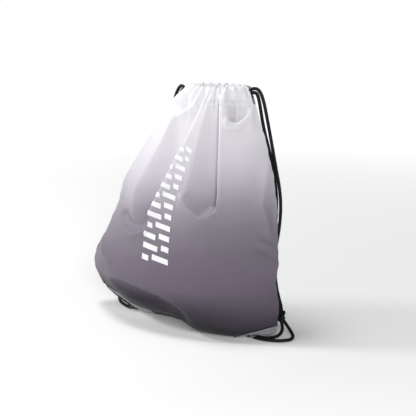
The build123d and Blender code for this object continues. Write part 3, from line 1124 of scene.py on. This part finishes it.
# %% [markdown]
# ## The print
# The front carries a white film print, a plain pattern of slanted bars. It could be painted into
# the cloth's material, but a pressed film has an edge and its own gloss. Each bar is cut from the
# panel's surface and stands a little proud of it, so that it follows the folds it was pressed on.


# %% Print bars
def print_bar(x0, x1, z0, z1, slant):
    """One film bar: between two distances across and two heights, sheared by slant."""
    u, v = np.meshgrid(np.linspace(0, 1, 26), np.linspace(0, 1, 12))
    x = x0 + (x1 - x0) * u
    z = z0 + (z1 - z0) * v + slant * (u - 0.5)
    middle, half = middle_and_half(z)
    return folded_point(-1, (x - middle) / half, z, np.zeros_like(z), proud=0.35)


# The print's middle and half width, in millimetres, at a few heights.
PRINT_MIDDLE = [(112, -8), (151, -8), (184, -5), (213, 2), (242, 12), (263, 20), (290, 26)]
PRINT_HALF = [(112, 23), (151, 22), (184, 19), (213, 16), (242, 13), (263, 11), (290, 8)]
# Where each row of bars is split, as a share of its half width; the rows take turns.
SPLITS, GAP = [-0.35, 0.30, 0.05], 0.13
PRINT_ROWS, PRINT_FOOT, PRINT_PITCH, PRINT_SLANT = 12, 109.0, 17.0, -8.0


def print_film():
    """Rows of slanted bars, each row in two lengths, that narrow upwards with the cloth."""
    bars, faces, first = [], [], 0
    foot, pitch = PRINT_FOOT, PRINT_PITCH
    for k in range(PRINT_ROWS):
        split, z0, z1 = SPLITS[k % 3], foot, foot + 0.5 * pitch
        tables = [np.array(table, float).T for table in (PRINT_MIDDLE, PRINT_HALF)]
        middle, half = (np.interp((z0 + z1) / 2, *table) for table in tables)
        for left, right in ((-1.0, split - GAP), (split + GAP, 1.0)):
            slant = PRINT_SLANT * (right - left) / 2
            grid = print_bar(middle + left * half, middle + right * half, z0, z1, slant)
            bars.append(grid.reshape(-1, 3))
            faces += grid_faces(*grid.shape[:2], first)
            first += len(bars[-1])
        foot += pitch
        pitch *= 0.97
    mesh = bpy.data.meshes.new("front_motif")
    mesh.from_pydata((np.vstack(bars) * MM).tolist(), [], faces)
    made = place_shape("front_motif", mesh, film)
    thicken(made, 0.25, 1)
    print(len(bars), "bars in", PRINT_ROWS, "rows")
    return made


motif = finish_piece(print_film(), "bag", "print_film", "front_print")

# %% [markdown]
# ## Seam bindings inside
# Turned inside out, the bag shows its seam allowances bound in black tape. They stand inwards
# from the side seams and the bottom seam, and show only through the mouth. They could be left
# out, but a bag seen from above needs them. Each is a flat tube along its seam.


# %% Bindings
def binding_strip(name, edge, inner, node):
    """A tape folded over a seam allowance, from the seam's line inwards."""
    middle = (edge + inner) / 2
    bulge = np.array([0, 0.5, 0])
    near_side = [edge + bulge, middle + bulge * 1.6, inner + bulge]
    far_side = [inner - bulge, middle - bulge * 1.6, edge - bulge]
    piece = grid_piece(name, np.array(near_side + far_side), tape, loop=True)
    finish_piece(piece, "bag", "seam_binding", node)
    print(name)


rise = np.linspace(36, 330, 90)
for corner, sign in (("right", 1), ("left", -1)):
    lines = []
    for inward in (3.5, 10.5):
        x = np.interp(rise, HEIGHTS, RIGHT if sign > 0 else LEFT) - sign * inward
        lines.append(np.stack([x, SEAM_Y + SEAM_LEAN * rise, rise], 1))
    binding_strip(f"{corner}_side_binding", *lines, f"{corner}_side_seam_binding")
run = np.linspace(-30, 70, 60)
floor_y = SEAM_Y + 12 * smooth(30, -50, run)
lines = [np.stack([run, floor_y, np.full(run.shape, up)], 1) for up in (1.6, 8.0)]
binding_strip("bottom_binding", *lines, "bottom_seam_binding")

# %% [markdown]
# ## Eyelets
# The eyelets and their washers are pressed steel, hard and exact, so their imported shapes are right
# already. They could be made again here, but it would gain nothing: only their finish is new.

# %% Eyelets
eyelets = [shape for name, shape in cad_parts.items() if "eyelet" in name]
for shape in eyelets:
    shape.data.materials.clear()
    shape.data.materials.append(plate)
print(len(eyelets), "eyelets and washers in", plate.name)

# %% [markdown]
# ## Floor
# A pale floor, wide enough that its edge never shows. A curved backdrop is the usual way to lose
# the horizon, but it has one right side. A flat floor that glows a little more with distance
# fades into the white surround from every side, and keeps the bag's own soft shadow.

# %% Floor
REACH = 12.0  # metres from the middle to an edge
floor_mesh = bpy.data.meshes.new("floor")
corners = [(x * REACH, y * REACH, 0) for x, y in ((-1, -1), (1, -1), (1, 1), (-1, 1))]
floor_mesh.from_pydata(corners, [], [(0, 1, 2, 3)])
floor = bpy.data.objects.new("floor", floor_mesh)
bpy.context.collection.objects.link(floor)
floor.location.z = -0.0004
pale, pale_tree, pale_shader = new_finish("floor", Base_Color=(0.92, 0.92, 0.92, 1), Roughness=0.8)
length = {"operation": "LENGTH"}
far_off = add(pale_tree, "ShaderNodeVectorMath", length, [where(pale_tree)], "Value")
glow = add(pale_tree, "ShaderNodeMapRange", {}, [far_off, 0.25, 2.0, 0.16, 0.88])
pale_shader.inputs["Emission Strength"].default_value = 1.0
feed(pale_tree, pale_shader, Emission_Color=glow)
floor_mesh.materials.append(pale)
print("floor", 2 * REACH, "m across")

# %% [markdown]
# ## Close
# Cloth keeps its area when it is gathered, so the last line prints the size that each panel was
# cut to.

# %% Sheets and sizes
print("each panel's own cloth is", CUT_WIDTH, "x", round(PANEL_CUT, 3), "m")
